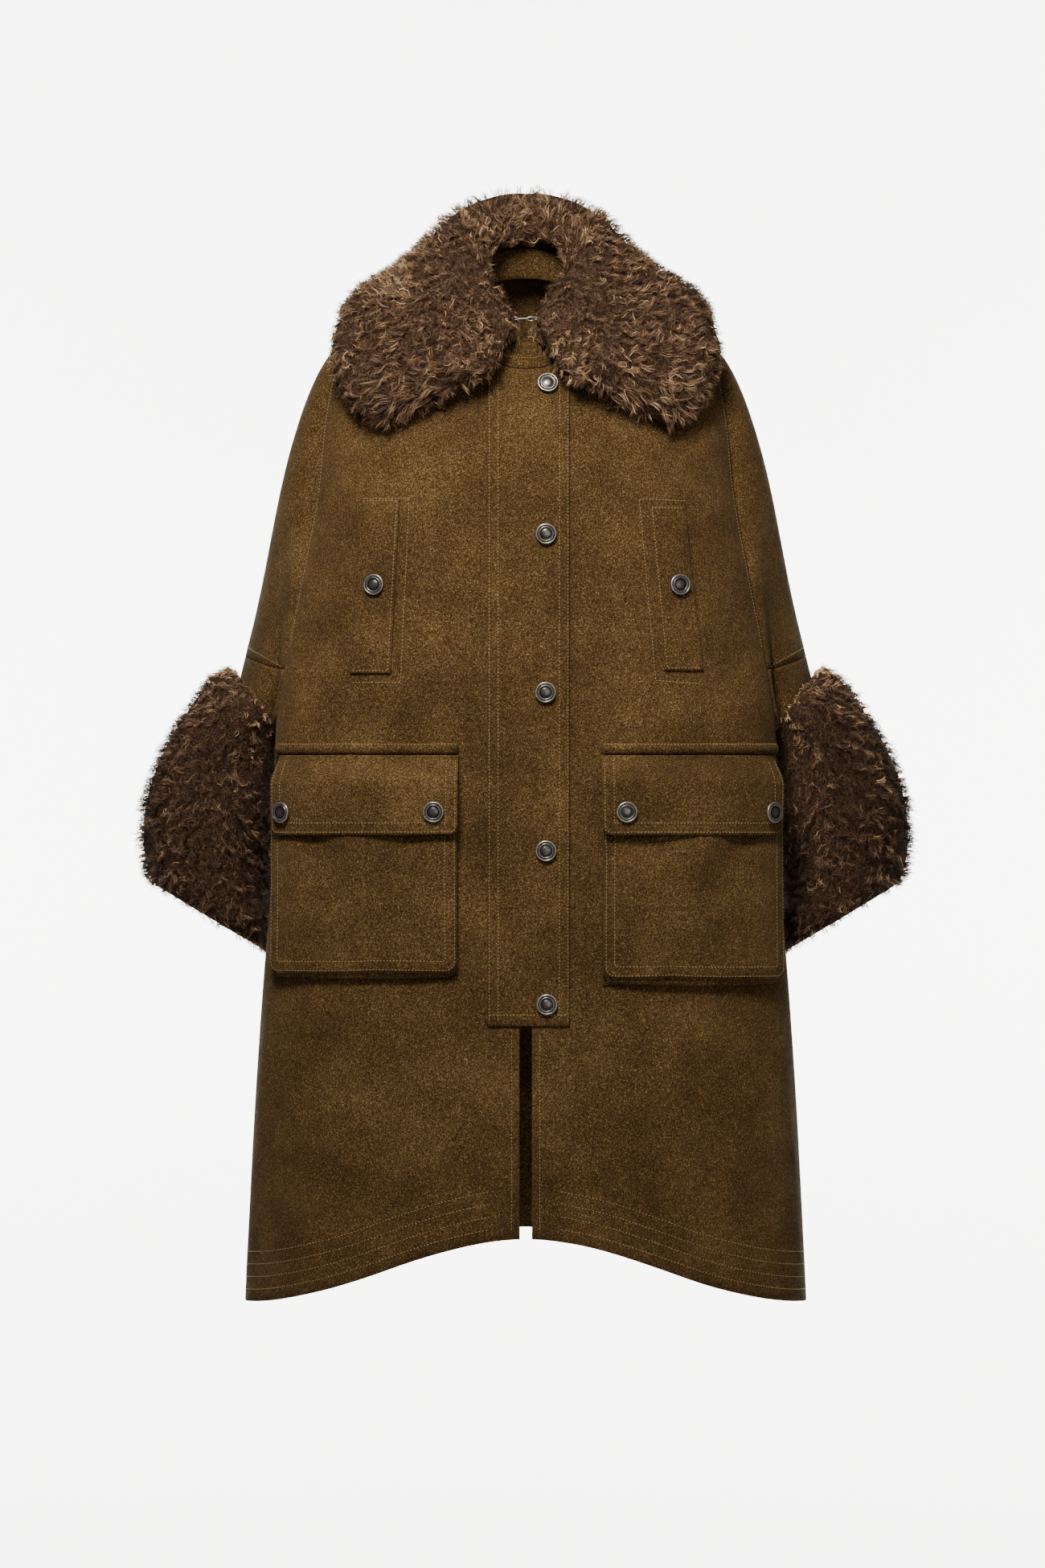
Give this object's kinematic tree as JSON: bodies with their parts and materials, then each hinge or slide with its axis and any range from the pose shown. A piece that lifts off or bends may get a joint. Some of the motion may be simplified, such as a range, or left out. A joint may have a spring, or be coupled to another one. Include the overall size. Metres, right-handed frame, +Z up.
{
  "type": "loden cape coat with fur collar and cuffs",
  "caption": "Knee-length A-line cape coat of felted loden, filled out as worn, with fur collar, wide fur cuffs, buttoned placket, slanted chest pockets and flapped bellows pockets.",
  "frame": {"origin": "where the shoulders carry the coat, on the centre line, level with the shoulder tips", "axes": "+Z up the standing coat, the front faces -Y, +X to the viewer's right seen from the front"},
  "size_m": [0.8338, 0.3867, 1.1973],
  "materials": {
    "loden": "felted olive brown wool, matt, with a fine melange and soft fibres",
    "fur": "curly dark brown fur with paler golden tips",
    "metal": "antique pewter, dark in the recesses"
  },
  "bodies": {
    "root": {"back": "loden", "chest_button_left": "metal", "chest_button_right": "metal", "chest_welt_left": "loden", "chest_welt_right": "loden", "collar_stand": "loden", "flap_button_left_inner": "metal", "flap_button_left_outer": "metal", "flap_button_right_inner": "metal", "flap_button_right_outer": "metal", "flap_ridge_left": "loden", "flap_ridge_right": "loden", "front_left": "loden", "front_right": "loden", "fur_collar": "fur", "fur_cuff_left": "fur", "fur_cuff_right": "fur", "neck_band": "loden", "neck_hook": "metal", "placket": "loden", "placket_button_1": "metal", "placket_button_2": "metal", "placket_button_3": "metal", "placket_button_4": "metal", "placket_button_5": "metal", "pocket_bag_left": "loden", "pocket_bag_right": "loden", "pocket_flap_left": "loden", "pocket_flap_right": "loden", "sleeve_band_left": "loden", "sleeve_band_right": "loden", "sleeve_left": "loden", "sleeve_right": "loden", "yoke_left": "loden", "yoke_right": "loden"}
  },
  "joints": []
}
